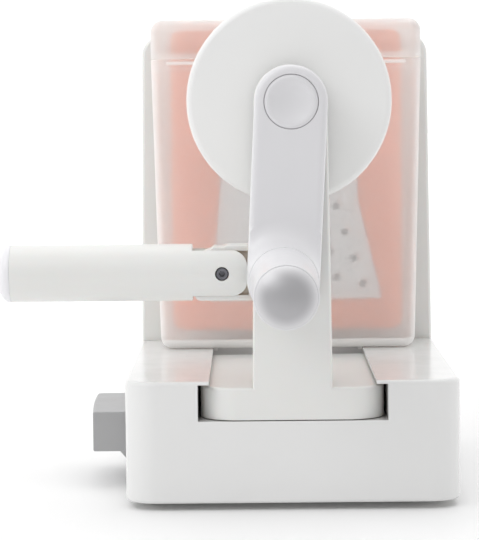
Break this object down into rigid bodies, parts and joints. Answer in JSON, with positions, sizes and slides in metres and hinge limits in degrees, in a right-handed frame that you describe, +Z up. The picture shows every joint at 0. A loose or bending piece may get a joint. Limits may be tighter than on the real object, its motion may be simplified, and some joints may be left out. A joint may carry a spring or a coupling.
{
  "type": "crank grater",
  "caption": "Tabletop hand-cranked grater: suction base, sliding crank carriage with food holder disc, folding push handle, insert upright and frosted storage box.",
  "frame": {"origin": "centre of the suction pad's face, on the worktop", "axes": "+Z up, -Y towards the person turning the crank, +X to the right seen from there"},
  "size_m": [0.2205, 0.3453, 0.2429],
  "materials": {
    "white_body": "satin",
    "lever_grey": "satin",
    "dark_plastic": "matte",
    "rubber": "matte",
    "bush": "satin",
    "steel": "satin",
    "dark_steel": "satin",
    "orange_frame": "satin",
    "frosted": "frosted"
  },
  "bodies": {
    "base": {"base_housing": "white_body", "bottom_plate": "white_body", "base_screw_1": "steel", "base_screw_2": "steel", "base_screw_3": "steel", "base_screw_4": "steel", "rubber_foot_1": "rubber", "rubber_foot_2": "rubber", "rubber_foot_3": "rubber", "rubber_foot_4": "rubber", "suction_pad": "rubber", "upright_frame": "white_body", "upright_rear_cover": "white_body", "upright_screw_1": "steel", "upright_screw_2": "steel", "upright_screw_3": "steel", "upright_screw_4": "steel"},
    "suction_lever": {"lever_handle": "lever_grey", "lever_shaft": "steel", "lever_screw": "steel", "lever_clip": "steel"},
    "stem": {"pad_stem": "dark_plastic"},
    "carriage": {"carriage_body": "white_body", "handle_bracket": "white_body", "tower_rear_cover": "white_body", "tower_screw_1": "steel", "tower_screw_2": "steel", "front_bush": "bush", "rear_bush": "bush"},
    "crank": {"crank_arm": "white_body", "hub_cap": "white_body", "hub_screw": "steel", "crank_shaft": "steel", "knob_axle": "steel", "holder_disc": "white_body", "pronged_hub": "steel", "holder_screw": "steel"},
    "knob": {"knob_grip": "white_body", "knob_cap": "white_body"},
    "push_handle": {"push_handle_grip": "white_body", "push_handle_cap": "white_body", "pivot_bolt": "dark_steel", "pivot_nut": "dark_steel"},
    "box": {"storage_box": "frosted", "stored_insert_frame": "orange_frame", "stored_insert_plate": "steel", "spare_insert_frame": "orange_frame", "spare_insert_plate": "steel"},
    "lid": {"box_lid": "frosted"},
    "fitted_insert": {"fitted_insert_frame": "orange_frame", "fitted_insert_plate": "steel"}
  },
  "joints": [
    {"name": "carriage_slide", "type": "slide", "parent": "base", "child": "carriage", "axis": [0, 1, 0], "range_m": [0, 0.06]},
    {"name": "crank_spin", "type": "hinge", "parent": "carriage", "child": "crank", "pos_m": [0, -0.1, 0.1932], "axis": [0, 1, 0], "continuous": true},
    {"name": "knob_spin", "type": "hinge", "parent": "crank", "child": "knob", "pos_m": [-0.00417, -0.18, 0.11091], "axis": [0, 1, 0], "continuous": true},
    {"name": "handle_fold", "type": "hinge", "parent": "carriage", "child": "push_handle", "pos_m": [-0.0329, -0.09975, 0.1123], "axis": [0, 1, 0], "range_deg": [0, 90]},
    {"name": "lever_turn", "type": "hinge", "parent": "base", "child": "suction_lever", "pos_m": [0, 0, 0.0286], "axis": [-1, 0, 0], "range_deg": [0, 90]},
    {"name": "stem_lift", "type": "slide", "parent": "base", "child": "stem", "axis": [0, 0, 1], "range_m": [0, 0.0026]},
    {"name": "box_lift", "type": "slide", "parent": "base", "child": "box", "axis": [0, 0, 1], "range_m": [0, 0.18]},
    {"name": "lid_lift", "type": "slide", "parent": "box", "child": "lid", "axis": [0, 0, 1], "range_m": [0, 0.05]},
    {"name": "insert_lift", "type": "slide", "parent": "base", "child": "fitted_insert", "axis": [0, 0, 1], "range_m": [0, 0.17]}
  ],
  "couplings": [
    {"joint": "stem_lift", "follows": "lever_turn", "m_per_rad": 0.00159}
  ]
}
